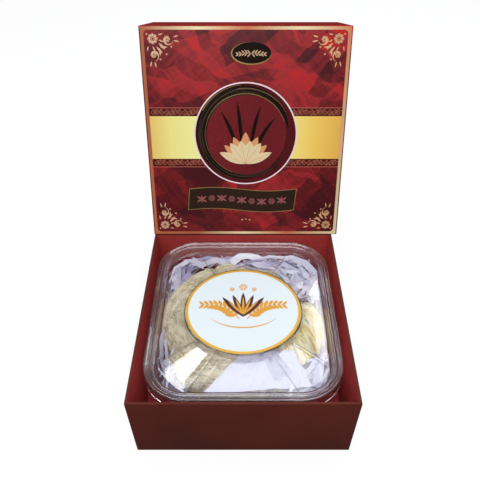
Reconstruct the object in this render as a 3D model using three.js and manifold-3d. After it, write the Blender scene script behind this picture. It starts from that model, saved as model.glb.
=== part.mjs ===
// An opened gift box of dried nests. A board tray holds a clear tub, and in the closed tub
// a ring of half-cup nests lies on shredded paper. The tray's deep lift-off lid stands up behind,
// leaning back on the tray's rear rim, with its open side to the rear.
// Millimetres, +Z up, front towards -Y, origin under the middle of the whole.

import * as THREE from 'three';
import { mergeVertices } from 'three/addons/utils/BufferGeometryUtils.js';
import Module from 'manifold-3d';

const wasm = await Module();
wasm.setup();

// Board tray and its lid
const BOARD = 2;
const TRAY = { width: 160, length: 170, height: 67 };
const LID = { width: 164.8, length: 174.8, depth: 72 };
const LID_LEAN = THREE.MathUtils.degToRad(18);
const LID_FOOT_ON_RIM = 1.7;
const LID_TO_THE_RIGHT = 2;

// Gaps that keep resting pieces apart
const TURNED_GAP = 0.3;
const SEAT_GAP = 0.1;

// Clear tub: profile points are [inset from the rim's outline, height above the tub's foot]
const RIM = { halfWidth: 73.5, halfLength: 80, radius: 33 };
const TUB_OUTSIDE = [[14, 0], [11, 3], [4.5, 56.5], [1.5, 57], [1.5, 58.5]];
const TUB_INSIDE = [[5.7, 58.5], [12.2, 4], [15, 1.2]];
const TUB_FLOOR = 1.2;
const TUB_FLANGE_TOP = 58.5;

// Tub lid: skirt, rolled bead, recess, a faceted panel that rises to an oval seat
const FILM = 1.2;
const SKIRT_BOTTOM = 50;
const BEAD = {
  underside: TUB_FLANGE_TOP + SEAT_GAP, shoulder: 59, top: 60, outerInset: 1, innerInset: 7.5,
};
const RECESS = { inset: 8.5, floor: 54 };
const FACETS = { inset: 9.5, rise: 4 };
const SEAT_FOOT = { halfWidth: 48, halfLength: 45 };
const SEAT_TOP = { halfWidth: 47, halfLength: 44, height: 61 };

// Round label on the seat
const LABEL = { halfWidth: 45.6, halfLength: 42.6, thickness: 0.3 };

// Nests: a ring of crescent hoods and one oval hood in the middle
const RING_STRETCH = 1.08;
const RING_JUNCTIONS_AT = THREE.MathUtils.degToRad(25);
const CRESCENT_COUNT = 4;
const CRESCENT_GAP = THREE.MathUtils.degToRad(2.5);
const CREST = { radius: 40, halfBreadth: 22, rise: 21 };
const FOOT_BELOW_MIDDLE = THREE.MathUtils.degToRad(15);
const LIP_PAST_TOP = THREE.MathUtils.degToRad(105);
const END_SHARE = 0.68;
const TAPER_POWER = 3;
const NEST_WALL = 4;
const NEST_LUMP = { height: 0.8, waves: 7 };
const MIDDLE_NEST = { halfWidth: 29, halfLength: 25.5, rise: 25 };

// Shredded paper: a bed under the nests and a heap in each corner of the tub
const BED = { top: 24.3, profile: [[15.4, TUB_FLOOR + SEAT_GAP], [12.7, 4.3], [10.2, 24.3]] };
const HEAP_INSET = 10.2;
const HEAP_OVAL = { halfWidth: 64.2, halfLength: 69.2 };
const HEAP_REACH = THREE.MathUtils.degToRad(20);
const HEAP_HEIGHTS = { rear: 21, front: 17 };

// Fineness of the round pieces
const CORNER_STEPS = 8;
const STRAIGHT_STEPS = 6;
const SIDES = 4 * (CORNER_STEPS + STRAIGHT_STEPS);
const CRESCENT_STEPS = 16;
const RIB_STEPS = 8;
const DOME_SIDES = 28;
const DOME_STEPS = 6;

const material = {
  trayBoard: new THREE.MeshStandardMaterial({ color: 0x6e2826, roughness: 0.6, metalness: 0 }),
  lidBoard: new THREE.MeshStandardMaterial({ color: 0x85282a, roughness: 0.45, metalness: 0 }),
  label: new THREE.MeshStandardMaterial({ color: 0xeceeef, roughness: 0.4, metalness: 0 }),
  nest: new THREE.MeshStandardMaterial({ color: 0xc5b894, roughness: 0.8, metalness: 0 }),
  paper: new THREE.MeshStandardMaterial({ color: 0xdcd8ea, roughness: 0.7, metalness: 0 }),
  clear: new THREE.MeshStandardMaterial({
    color: 0xf2f4f6, roughness: 0.08, metalness: 0, transparent: true, opacity: 0.3,
  }),
};

function named(name, geometry, finish) {
  geometry.computeVertexNormals();
  const mesh = new THREE.Mesh(geometry, finish);
  mesh.name = name;
  return mesh;
}

function toSolid(geometry) {
  const bare = geometry.clone();
  bare.deleteAttribute('normal');
  bare.deleteAttribute('uv');
  const merged = mergeVertices(bare, 1e-4);
  return new wasm.Manifold(new wasm.Mesh({
    numProp: 3,
    vertProperties: merged.attributes.position.array,
    triVerts: new Uint32Array(merged.index.array),
  }));
}

function toGeometry(solid) {
  const { vertProperties, triVerts } = solid.getMesh();
  const geometry = new THREE.BufferGeometry();
  geometry.setAttribute('position', new THREE.BufferAttribute(vertProperties, 3));
  geometry.setIndex(new THREE.BufferAttribute(triVerts, 1));
  return geometry;
}

function block([x0, x1], [y0, y1], [z0, z1]) {
  const box = new THREE.BoxGeometry(x1 - x0, y1 - y0, z1 - z0);
  return box.translate((x0 + x1) / 2, (y0 + y1) / 2, (z0 + z1) / 2);
}

// Points round a rectangle with round corners, anticlockwise. Chamfered, each corner's arc
// becomes its chord, so that the ring is an octagon with as many points.
function rectangleRing({ halfWidth, halfLength, radius }, inset, z, chamfered = false) {
  const round = radius - inset;
  const cornerPoint = (corner, share) => {
    const signX = corner === 0 || corner === 3 ? 1 : -1;
    const signY = corner < 2 ? 1 : -1;
    const angle = (corner + share) * Math.PI / 2;
    return new THREE.Vector3(
      signX * (halfWidth - radius) + round * Math.cos(angle),
      signY * (halfLength - radius) + round * Math.sin(angle),
      z,
    );
  };
  const ring = [];
  for (let corner = 0; corner < 4; corner += 1) {
    const start = cornerPoint(corner, 0);
    const end = cornerPoint(corner, 1);
    for (let step = 0; step <= CORNER_STEPS; step += 1) {
      const share = step / CORNER_STEPS;
      ring.push(chamfered ? start.clone().lerp(end, share) : cornerPoint(corner, share));
    }
    const next = cornerPoint((corner + 1) % 4, 0);
    for (let step = 1; step < STRAIGHT_STEPS; step += 1) {
      ring.push(end.clone().lerp(next, step / STRAIGHT_STEPS));
    }
  }
  return ring;
}

// The oval's points in the directions of another ring's points.
function ovalRing({ halfWidth, halfLength }, directions, heightAt) {
  return directions.map((direction) => {
    const scale = 1 / Math.hypot(direction.x / halfWidth, direction.y / halfLength);
    return new THREE.Vector3(direction.x * scale, direction.y * scale, heightAt(scale));
  });
}

function axisRing(z) {
  return Array.from({ length: SIDES }, () => new THREE.Vector3(0, 0, z));
}

// One closed skin through the rings in turn: a lathe's faces with their corners moved to the rings.
function skin(rings) {
  const geometry = new THREE.LatheGeometry(rings.map(() => new THREE.Vector2(1, 0)), SIDES);
  const position = geometry.attributes.position;
  for (let side = 0; side <= SIDES; side += 1) {
    rings.forEach((ring, index) => {
      const { x, y, z } = ring[side % SIDES];
      position.setXYZ(side * rings.length + index, x, y, z);
    });
  }
  return geometry;
}

function makeTray() {
  const halfWidth = TRAY.width / 2;
  const halfLength = TRAY.length / 2;
  const outside = block([-halfWidth, halfWidth], [-halfLength, halfLength], [0, TRAY.height]);
  const hollow = block(
    [BOARD - halfWidth, halfWidth - BOARD],
    [BOARD - halfLength, halfLength - BOARD],
    [BOARD, TRAY.height + BOARD],
  );
  return named('tray', toGeometry(toSolid(outside).subtract(toSolid(hollow))), material.trayBoard);
}

// Upright in its own group: the printed face at y = 0, the open side at y = LID.depth.
function makeBoxLid() {
  const halfWidth = LID.width / 2;
  const outside = block([-halfWidth, halfWidth], [0, LID.depth], [0, LID.length]);
  const hollow = block(
    [BOARD - halfWidth, halfWidth - BOARD],
    [BOARD, LID.depth + BOARD],
    [BOARD, LID.length - BOARD],
  );
  return named('box_lid', toGeometry(toSolid(outside).subtract(toSolid(hollow))), material.lidBoard);
}

function makeTub() {
  const rings = [...TUB_OUTSIDE, ...TUB_INSIDE].map(([inset, z]) => rectangleRing(RIM, inset, z));
  return named('tub', skin([axisRing(0), ...rings, axisRing(TUB_FLOOR)]), material.clear);
}

function makeTubLid() {
  const rim = (inset, z) => rectangleRing(RIM, inset, z);
  const octagon = rectangleRing(RIM, FACETS.inset, RECESS.floor, true);
  const sunkOctagon = rectangleRing(RIM, FACETS.inset, RECESS.floor - FILM, true);
  const facetHeight = (scale) => RECESS.floor + FACETS.rise * (1 - scale);
  const shrunk = ({ halfWidth, halfLength }) => ({
    halfWidth: halfWidth - FILM,
    halfLength: halfLength - FILM,
  });
  const underside = [
    axisRing(SEAT_TOP.height - FILM),
    ovalRing(shrunk(SEAT_TOP), octagon, () => SEAT_TOP.height - FILM),
    ovalRing(shrunk(SEAT_FOOT), octagon, (scale) => facetHeight(scale) - FILM),
    sunkOctagon,
    rim(RECESS.inset - FILM, RECESS.floor - FILM),
    rim(RECESS.inset - FILM, BEAD.underside),
    rim(FILM, BEAD.underside),
    rim(FILM, SKIRT_BOTTOM),
  ];
  const topside = [
    rim(0, SKIRT_BOTTOM),
    rim(0, BEAD.shoulder),
    rim(BEAD.outerInset, BEAD.top),
    rim(BEAD.innerInset, BEAD.top),
    rim(RECESS.inset, BEAD.shoulder),
    rim(RECESS.inset, RECESS.floor),
    octagon,
    ovalRing(SEAT_FOOT, octagon, facetHeight),
    ovalRing(SEAT_TOP, octagon, () => SEAT_TOP.height),
    axisRing(SEAT_TOP.height),
  ];
  return named('tub_lid', skin([...underside, ...topside]), material.clear);
}

function makeLabel() {
  const directions = rectangleRing(RIM, 0, 0);
  const bottom = SEAT_TOP.height + SEAT_GAP;
  const top = bottom + LABEL.thickness;
  const rings = [
    axisRing(bottom),
    ovalRing(LABEL, directions, () => bottom),
    ovalRing(LABEL, directions, () => top),
    axisRing(top),
  ];
  return named('label', skin(rings), material.label);
}

// A hood bent round the ring's axis: a slab whose length runs along the arc and whose breadth
// climbs from the outer foot over the crest to the inner lip. Its ends are smaller than its middle.
function makeCrescent(number) {
  const slab = new THREE.BoxGeometry(1, 1, 1, CRESCENT_STEPS, RIB_STEPS, 1);
  const halfArc = Math.PI / CRESCENT_COUNT - CRESCENT_GAP / 2;
  const foot = BED.top + TURNED_GAP;
  const position = slab.attributes.position;
  for (let i = 0; i < position.count; i += 1) {
    const along = 2 * position.getX(i);
    const across = position.getY(i) + 0.5;
    const wall = position.getZ(i) < 0 ? NEST_WALL : 0;
    const size = END_SHARE + (1 - END_SHARE) * Math.sqrt(1 - Math.abs(along) ** TAPER_POWER);
    const climb = THREE.MathUtils.lerp(-FOOT_BELOW_MIDDLE, LIP_PAST_TOP, across);
    const lump = NEST_LUMP.height * Math.sin(NEST_LUMP.waves * along + number) * Math.sin(Math.PI * across);
    const breadth = CREST.halfBreadth * size - wall + lump;
    const rise = CREST.rise * size - wall + lump;
    const middle = foot + CREST.rise * size * Math.sin(FOOT_BELOW_MIDDLE);
    const radius = CREST.radius + breadth * Math.cos(climb);
    const angle = halfArc * along;
    const z = middle + rise * Math.sin(climb);
    position.setXYZ(i, radius * Math.cos(angle), radius * Math.sin(angle), z);
  }
  const crescent = named(`nest_${number}`, slab, material.nest);
  crescent.rotation.z = RING_JUNCTIONS_AT + (2 * number - 1) * Math.PI / CRESCENT_COUNT;
  return crescent;
}

// A quarter of a dome's section, from the axis down to the foot.
function domeSection(halfWidth, rise) {
  const section = [new THREE.Vector2(0, BED.top + TURNED_GAP + rise)];
  for (let step = 1; step <= DOME_STEPS; step += 1) {
    const angle = Math.PI / 2 * (1 - step / DOME_STEPS);
    const height = BED.top + TURNED_GAP + rise * Math.sin(angle);
    section.push(new THREE.Vector2(halfWidth * Math.cos(angle), height));
  }
  return section;
}

// An upturned oval cup: its inner face from the axis down to the foot, then its outer face back.
function makeMiddleNest() {
  const { halfWidth, halfLength, rise } = MIDDLE_NEST;
  const inside = domeSection(halfWidth - NEST_WALL, rise - NEST_WALL);
  const outside = domeSection(halfWidth, rise).reverse();
  const dome = new THREE.LatheGeometry([...inside, ...outside], DOME_SIDES).rotateX(Math.PI / 2);
  const nest = named(`nest_${CRESCENT_COUNT + 1}`, dome, material.nest);
  nest.scale.y = halfLength / halfWidth;
  return nest;
}

function makePaperBed() {
  const rings = BED.profile.map(([inset, z]) => rectangleRing(RIM, inset, z));
  const bottom = BED.profile[0][1];
  return named('paper_bed', skin([axisRing(bottom), ...rings, axisRing(BED.top)]), material.paper);
}

// The space left in one corner of the tub between its wall and the ring of nests.
function makePaperHeap(name, signX, signY, height) {
  const sideX = RIM.halfWidth - HEAP_INSET;
  const sideY = RIM.halfLength - HEAP_INSET;
  const cornerX = RIM.halfWidth - RIM.radius;
  const cornerY = RIM.halfLength - RIM.radius;
  const round = RIM.radius - HEAP_INSET;
  const near = Math.sin(HEAP_REACH);
  const outline = new THREE.Shape();
  outline.moveTo(sideX, HEAP_OVAL.halfLength * near);
  outline.absarc(cornerX, cornerY, round, 0, Math.PI / 2, false);
  outline.lineTo(HEAP_OVAL.halfWidth * near, sideY);
  outline.absellipse(
    0, 0, HEAP_OVAL.halfWidth, HEAP_OVAL.halfLength,
    Math.PI / 2 - HEAP_REACH, HEAP_REACH, true,
  );
  const heap = new THREE.ExtrudeGeometry(outline, {
    depth: height, bevelEnabled: false, curveSegments: CORNER_STEPS,
  });
  const mesh = named(name, heap, material.paper);
  const isUpsideDown = signX * signY < 0;
  mesh.rotation.x = signY < 0 ? Math.PI : 0;
  mesh.rotation.y = signX < 0 ? Math.PI : 0;
  mesh.position.z = BED.top + SEAT_GAP + (isUpsideDown ? height : 0);
  return mesh;
}

const giftBox = new THREE.Group();
const totalLength = TRAY.length - LID_FOOT_ON_RIM
  + LID.length * Math.sin(LID_LEAN) + LID.depth * Math.cos(LID_LEAN);

const trayGroup = new THREE.Group();
trayGroup.position.set(-LID_TO_THE_RIGHT, (TRAY.length - totalLength) / 2, 0);
trayGroup.add(makeTray());
giftBox.add(trayGroup);

const tubGroup = new THREE.Group();
tubGroup.position.z = BOARD + SEAT_GAP;
tubGroup.add(makeTub(), makeTubLid(), makeLabel(), makePaperBed());
tubGroup.add(
  makePaperHeap('paper_heap_rear_right', 1, 1, HEAP_HEIGHTS.rear),
  makePaperHeap('paper_heap_rear_left', -1, 1, HEAP_HEIGHTS.rear),
  makePaperHeap('paper_heap_front_left', -1, -1, HEAP_HEIGHTS.front),
  makePaperHeap('paper_heap_front_right', 1, -1, HEAP_HEIGHTS.front),
);
trayGroup.add(tubGroup);

const nestRing = new THREE.Group();
nestRing.scale.y = RING_STRETCH;
for (let number = 1; number <= CRESCENT_COUNT; number += 1) {
  nestRing.add(makeCrescent(number));
}
nestRing.add(makeMiddleNest());
tubGroup.add(nestRing);

// The lid's lower wall slopes down behind the tray and rests on the rear rim's outer edge.
const lidGroup = new THREE.Group();
lidGroup.rotation.x = -LID_LEAN;
lidGroup.position.set(
  0,
  TRAY.length - totalLength / 2 - LID_FOOT_ON_RIM,
  TRAY.height + LID_FOOT_ON_RIM * Math.tan(LID_LEAN) + TURNED_GAP,
);
lidGroup.add(makeBoxLid());
giftBox.add(lidGroup);

export default giftBox;
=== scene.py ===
# %% [markdown]
# # An opened gift box of dried nests
# This lesson dresses a small still life in Blender: a red board tray, its tall lid leaning behind
# it, and in the tray a clear tub of dried half-cup nests on shredded paper. The sizes come from a
# fixed frame of plain solids, so the first step is to load that frame and keep its box. Everything
# is in metres, and each finished piece stays in the place that its solid has.

# %% Load the frame
import math

import bpy
import numpy as np
from mathutils import Matrix, Vector


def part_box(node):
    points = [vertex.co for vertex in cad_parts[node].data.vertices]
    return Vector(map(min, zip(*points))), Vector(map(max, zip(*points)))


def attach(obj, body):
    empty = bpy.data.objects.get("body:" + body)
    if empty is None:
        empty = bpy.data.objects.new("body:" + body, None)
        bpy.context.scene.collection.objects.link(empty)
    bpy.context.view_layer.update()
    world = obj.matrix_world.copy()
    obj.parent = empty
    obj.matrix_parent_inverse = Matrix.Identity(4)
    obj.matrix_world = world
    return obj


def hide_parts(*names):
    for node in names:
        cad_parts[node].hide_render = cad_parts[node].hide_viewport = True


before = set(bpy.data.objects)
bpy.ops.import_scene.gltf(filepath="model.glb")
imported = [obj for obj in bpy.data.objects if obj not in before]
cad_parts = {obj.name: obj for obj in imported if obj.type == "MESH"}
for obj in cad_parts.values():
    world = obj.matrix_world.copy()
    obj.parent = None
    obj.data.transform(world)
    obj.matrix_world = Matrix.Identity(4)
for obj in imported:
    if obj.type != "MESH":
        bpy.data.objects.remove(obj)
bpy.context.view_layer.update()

MM = 0.001

# %% [markdown]
# ## The camera
# A photograph is matched by its perspective before anything is modelled. The tray's edges meet
# at points that give the camera's tilt and lens, and the tray's size gives its distance. The
# camera stands in front of the tray's front wall, and a small sideways shift stands for the crop.

# %% Stand the camera in front of the tray
tray_low, tray_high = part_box("tray")
tray_middle = (tray_low + tray_high) / 2
CAMERA_BEFORE_TRAY = 178.9 * MM
CAMERA_HEIGHT = 382.7 * MM
CAMERA_DOWN = math.radians(42.84)
FRAME_PIXELS = 480
CENTRE_LINE_PIXEL = 243.2

bpy.ops.object.camera_add(
    location=(tray_middle.x, tray_low.y - CAMERA_BEFORE_TRAY, CAMERA_HEIGHT),
    rotation=(math.pi / 2 - CAMERA_DOWN, 0, 0),
)
camera = bpy.context.object
camera.data.sensor_width = 36
camera.data.lens = 38.8
camera.data.shift_x = (FRAME_PIXELS / 2 - CENTRE_LINE_PIXEL) / FRAME_PIXELS
camera.data.clip_start = 0.01
bpy.context.scene.camera = camera
print("camera at", camera.location)

# %% [markdown]
# ## Paint boxes
# Colours are read from the photograph as screen values, 0 to 255, and shaders want linear light,
# so one helper converts them. A second starts a material from a colour, a roughness and any other
# value of the shader. A third adds a node with its settings, and the rest are short forms of the
# nodes that most finishes use, such as noise, arithmetic, colour ramps and bump.

# %% Colour and material helpers
def tone(red, green, blue):
    screen = [value / 255 for value in (red, green, blue)]
    linear = [c / 12.92 if c <= 0.04045 else ((c + 0.055) / 1.055) ** 2.4 for c in screen]
    return (*linear, 1.0)


def shader_of(material):
    return material.node_tree.nodes["Principled BSDF"]


def start_material(name, colour, roughness, **sockets):
    material = bpy.data.materials.new(name)
    material.use_nodes = True
    for socket, value in {"Base Color": colour, "Roughness": roughness, **sockets}.items():
        shader_of(material).inputs[socket.replace("_", " ")].default_value = value
    return material


def add_node(material, kind, inputs=None, **settings):
    node = material.node_tree.nodes.new(kind)
    for setting, value in settings.items():
        setattr(node, setting, value)
    for socket, value in (inputs or {}).items():
        if isinstance(value, bpy.types.NodeSocket):
            material.node_tree.links.new(value, node.inputs[socket])
        else:
            node.inputs[socket].default_value = value
    return node


def feed(material, output, socket):
    material.node_tree.links.new(output, shader_of(material).inputs[socket])


def object_place(material, turn=(0, 0, 0)):
    place = add_node(material, "ShaderNodeTexCoord").outputs["Object"]
    return add_node(material, "ShaderNodeMapping", {"Vector": place, "Rotation": turn}).outputs["Vector"]


def noise_at(material, vector, scale, detail):
    return add_node(material, "ShaderNodeTexNoise", {"Vector": vector, "Scale": scale, "Detail": detail})


def vector_math(material, operation, first, second):
    inputs = {0: first, ("Scale" if operation == "SCALE" else 1): second}
    return add_node(material, "ShaderNodeVectorMath", inputs, operation=operation).outputs[0]


def number_math(material, operation, *values):
    inputs = dict(enumerate(values))
    return add_node(material, "ShaderNodeMath", inputs, operation=operation).outputs[0]


def map_range(material, value, low, high, to_low=0.0, to_high=1.0):
    inputs = {"Value": value, "From Min": low, "From Max": high, "To Min": to_low, "To Max": to_high}
    return add_node(material, "ShaderNodeMapRange", inputs).outputs[0]


def ramp(material, factor, stops):
    node = add_node(material, "ShaderNodeValToRGB", {"Fac": factor})
    elements = node.color_ramp.elements
    while len(elements) < len(stops):
        elements.new(1.0)
    for element, (position, colour) in zip(elements, stops):
        element.position = position
        element.color = colour
    return node.outputs["Color"]


def bump(material, height, strength, distance):
    inputs = {"Height": height, "Strength": strength, "Distance": distance}
    feed(material, add_node(material, "ShaderNodeBump", inputs).outputs["Normal"], "Normal")


# %% [markdown]
# ## Light and floor
# The photograph is a cut-out on white under mostly top light: the label is bright and the tray's
# front wall dark. One soft lamp is mirrored in the lid's front facet, where its left edge shows as
# a slanting line. Following that line back through the facet gives the lamp's place and turn. Two
# small lamps to the rear give the glints at the tub's left and right. A broad lamp overhead, to the
# front and left, and a dim even sky light the rest. The camera sees that sky brighter, as white.

# %% Sky
SKY_LIGHT, SKY_SEEN = 0.35, 0.95
scene = bpy.context.scene
scene.view_settings.view_transform = "Standard"
scene.cycles.use_denoising = True
scene.world = bpy.data.worlds.new("even_sky")
scene.world.use_nodes = True
sky = scene.world.node_tree.nodes["Background"]
sky.inputs["Color"].default_value = (0.93, 0.96, 1.0, 1.0)
seen = add_node(scene.world, "ShaderNodeLightPath").outputs["Is Camera Ray"]
strength = map_range(scene.world, seen, 0.0, 1.0, SKY_LIGHT, SKY_SEEN)
scene.world.node_tree.links.new(strength, sky.inputs["Strength"])
print("sky strength", SKY_LIGHT, "seen as", SKY_SEEN)


# %% Lamps
def add_lamp(name, place, size, power, turn=0.0, tilt=(0.0, 0.0), colour=(1.0, 1.0, 1.0)):
    """A flat lamp that faces down before its tilt about X and Y, in degrees."""
    bpy.ops.object.light_add(
        type="AREA", location=place, rotation=[math.radians(angle) for angle in (*tilt, turn)]
    )
    lamp = bpy.context.object
    lamp.name = name
    lamp.data.shape = "RECTANGLE"
    lamp.data.size, lamp.data.size_y = size
    lamp.data.energy = power
    lamp.data.color = colour


LAMPS = {
    "softbox": dict(
        place=(0.098, 0.146, 0.85), size=(0.4, 0.5), power=1.9, turn=-41.9, colour=(0.9, 0.95, 1.0)
    ),
    "left_glint": dict(place=(-0.188, 0.33, 0.85), size=(0.15, 0.085), power=0.3, turn=38.0),
    "overhead": dict(place=(-0.3, -1.0, 1.35), size=(1.6, 1.2), power=19.0, tilt=(38.0, 0.0)),
    "side_glare": dict(place=(0.42, 0.64, 0.9), size=(0.22, 0.34), power=1.2),
}
for name, settings in LAMPS.items():
    add_lamp(name, **settings)
print("lamps:", *LAMPS)

# %% [markdown]
# ## Finishing a piece
# Each piece ends the same way: its place is applied to its mesh, so the object itself sits at the
# origin, its smooth faces are shaded smooth, and it gets its material. Then it rides on the frame's
# one body and, where it stands for plain solids, replaces them.

# %% Helpers to pick and finish a piece
def pick(piece):
    bpy.ops.object.select_all(action="DESELECT")
    piece.select_set(True)
    bpy.context.view_layer.objects.active = piece


def object_mode():
    bpy.ops.object.mode_set(mode="OBJECT")


def select_parts(piece, kind, test):
    """Enters edit mode with only those parts selected that pass the test."""
    pick(piece)
    bpy.ops.object.mode_set(mode="EDIT")
    bpy.ops.mesh.select_mode(type=kind)
    bpy.ops.mesh.select_all(action="DESELECT")
    object_mode()
    mesh = piece.data
    for part in {"VERT": mesh.vertices, "EDGE": mesh.edges, "FACE": mesh.polygons}[kind]:
        part.select = bool(test(part))
    bpy.ops.object.mode_set(mode="EDIT")


def new_piece(name, data):
    piece = bpy.data.objects.new(name, data)
    bpy.context.collection.objects.link(piece)
    return piece


def unit(rows):
    return rows / np.maximum(np.linalg.norm(rows, axis=1), 1e-6)[:, None]


def mesh_piece(name, corners, faces, shades=()):
    """A piece from computed corners and faces, and each corner's shade where it has one."""
    mesh = bpy.data.meshes.new(name)
    mesh.from_pydata(corners, [], faces)
    if len(shades):
        mesh.attributes.new("shade", "FLOAT", "POINT").data.foreach_set("value", np.array(shades))
    return new_piece(name, mesh)


def use_modifier(piece, kind, **settings):
    pick(piece)
    modifier = piece.modifiers.new(kind.title(), kind)
    for setting, value in settings.items():
        setattr(modifier, setting, value)
    bpy.ops.object.modifier_apply(modifier=modifier.name)


def finish_piece(piece, material, slot, *nodes, smooth=32):
    pick(piece)
    bpy.ops.object.transform_apply(location=True, rotation=True, scale=True)
    bpy.ops.object.shade_smooth_by_angle(angle=math.radians(smooth))
    piece.data.materials.clear()
    piece.data.materials.append(material)
    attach(piece, "root")
    if nodes:
        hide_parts(*nodes)
    print(piece.name, len(piece.data.polygons), "faces")


def paint_faces(piece, choose, *materials):
    """Adds materials; choose gives each face its material's number, and 0 is the first one."""
    for material in materials:
        piece.data.materials.append(material)
    for face in piece.data.polygons:
        face.material_index = int(choose(face))


# %% [markdown]
# ## Floor
# One broad sheet, which is not part of the object. To the camera it glows almost
# white, as the sky does, so that only the softest shadow is left, and to all other rays it is grey.

# %% Lay the floor
FLOOR_GLOW = 0.88
bpy.ops.mesh.primitive_plane_add(size=12, location=(0, 0, -0.0002))
floor = bpy.context.object
floor.name = "floor"
floor_white = start_material("floor_white", (0.15, 0.15, 0.15, 1), 0.9, Specular_IOR_Level=0.0)
seen = add_node(floor_white, "ShaderNodeLightPath").outputs["Is Camera Ray"]
shader_of(floor_white).inputs["Emission Color"].default_value = (1.0, 1.0, 1.0, 1.0)
feed(floor_white, number_math(floor_white, "MULTIPLY", seen, FLOOR_GLOW), "Emission Strength")
floor.data.materials.append(floor_white)

# %% [markdown]
# ## Dark red wrapping paper
# The tray is grey board wrapped in a smooth, faintly mottled brownish-red paper. The mottle is two
# noises, a broad one for the print's uneven tone and a fine one for the paper's tooth, and the
# tooth also drives a slight bump, so that the highlights break up. The wrap is set darker than the
# lining: that is painted shade, for the outer walls that face away from the top light.

# %% Tray paper
def paper_finish(name, dark, light, roughness, gloss=0.12):
    material = start_material(name, light, roughness, Specular_IOR_Level=gloss)
    place = object_place(material)
    broad = noise_at(material, place, 14.0, 4.0).outputs["Fac"]
    tooth = noise_at(material, place, 900.0, 3.0).outputs["Fac"]
    mottle = number_math(material, "MULTIPLY", broad, tooth)
    feed(material, ramp(material, mottle, [(0.12, dark), (0.4, light)]), "Base Color")
    bump(material, tooth, 0.25, 0.0001)
    return material


# The wrap's darker red is painted shade for the outer walls, which face away from the top light.
shaded_wrap_paper = paper_finish("tray_wrap_paper_shaded", tone(84, 36, 29), tone(108, 45, 35), 0.5)
inner_paper = paper_finish("tray_lining_paper", tone(146, 50, 48), tone(180, 62, 58), 0.55)

# %% [markdown]
# ## The tray
# A rigid box is five boards glued edge to edge and wrapped, so its edges are straight, tight and
# only slightly rounded. It could be a cube with its top removed and thickened, but an inset and a
# push down keep the wall's thickness in sight: the rim is the inset, and the hollow is the extrude.

# %% Model the tray
BOARD = 2.0 * MM
EDGE_ROUND = 0.45 * MM


def open_box(name, low, high, wall, open_side):
    """A cube with a hollow pushed in from one side; open_side is that side's direction."""
    size = high - low
    bpy.ops.mesh.primitive_cube_add(size=1, location=(low + high) / 2)
    box = bpy.context.object
    box.name = name
    box.scale = size
    bpy.ops.object.transform_apply(location=True, rotation=False, scale=True)
    select_parts(box, "FACE", lambda face: face.normal.dot(open_side) > 0.9)
    bpy.ops.mesh.inset(thickness=wall, use_boundary=True)
    depth = abs(size.dot(open_side)) - wall
    bpy.ops.mesh.extrude_region_move(TRANSFORM_OT_translate={"value": -depth * open_side})
    object_mode()
    return box


tray = open_box("tray_box", tray_low, tray_high, BOARD, Vector((0, 0, 1)))
use_modifier(tray, "BEVEL", width=EDGE_ROUND, segments=3, limit_method="ANGLE")
finish_piece(tray, shaded_wrap_paper, "tray_board", "tray")

# %% Line the tray's inside with the brighter paper, which has no painted shade
def is_lined(face):
    beside = face.center - tray_middle
    faces_in = Vector((beside.x, beside.y, 0)).dot(face.normal) < 0 and abs(face.normal.z) < 0.5
    return faces_in or (face.normal.z > 0.9 and face.center.z < tray_middle.z)


paint_faces(tray, is_lined, inner_paper)
print("lined faces:", sum(face.material_index for face in tray.data.polygons))

# %% [markdown]
# ## The lid's place
# The lid leans back, so it is easier to draw upright and flat and then to turn. Its length, depth
# and foot are worked out from the leaning solid's box and its lean. Two matrices follow: one takes
# an upright lid to its place, and one takes flat drawings in millimetres to its printed face.

# %% Find the lid's frame
LEAN = math.radians(18)
lid_low, lid_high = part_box("box_lid")
reach = lid_high.y - lid_low.y
rise = lid_high.z - lid_low.z
spread = math.cos(LEAN) ** 2 - math.sin(LEAN) ** 2
LID_LENGTH = (rise * math.cos(LEAN) - reach * math.sin(LEAN)) / spread
LID_DEPTH = (reach * math.cos(LEAN) - rise * math.sin(LEAN)) / spread
LID_WIDTH = lid_high.x - lid_low.x
foot = Vector(((lid_low.x + lid_high.x) / 2, lid_low.y, lid_high.z - LID_LENGTH * math.cos(LEAN)))
upright_to_place = Matrix.Translation(foot) @ Matrix.Rotation(-LEAN, 4, "X")
face_to_place = upright_to_place @ Matrix.Rotation(math.pi / 2, 4, "X") @ Matrix.Scale(MM, 4)
FACE_WIDTH = LID_WIDTH / MM
FACE_HEIGHT = LID_LENGTH / MM
print("lid", FACE_WIDTH, FACE_HEIGHT, LID_DEPTH / MM, "mm")

# %% [markdown]
# ## The lid's printed red
# The lid's paper is printed with overlapping broad strokes of several reds, with straight torn
# edges. Stretched Voronoi cells at three angles give such patches. Noise tears their edges, and a
# much stretched noise adds the brush's hairs. The pattern reads Object coordinates, first turned
# upright by the lean, so that it lies in the face. The sides are a plain red with hardly any gloss.

# %% Painted red paper
STROKES = ((52, 0.062, 0.026), (-38, 0.05, 0.022), (24, 0.034, 0.012))
STROKE_WEIGHT = 0.31
HAIR_WEIGHTS = ((52, 0.36), (-38, 0.34))
HAIR_LENGTH, HAIR_BREADTH = 0.03, 0.0022
TEAR, BEND = 0.008, 0.02
FADE_HEIGHTS, FADE_VALUES = (0.09, 0.2), (-0.44, -0.29)


def stroke_space(material, vector, angle, length, breadth):
    """Turns the face's plane by an angle and shrinks it, so that one unit is one brush stroke."""
    inputs = {"Vector": vector, "Rotation": (0, math.radians(angle), 0), "Scale": (length, length, breadth)}
    return add_node(material, "ShaderNodeMapping", inputs, vector_type="TEXTURE").outputs[0]


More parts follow.
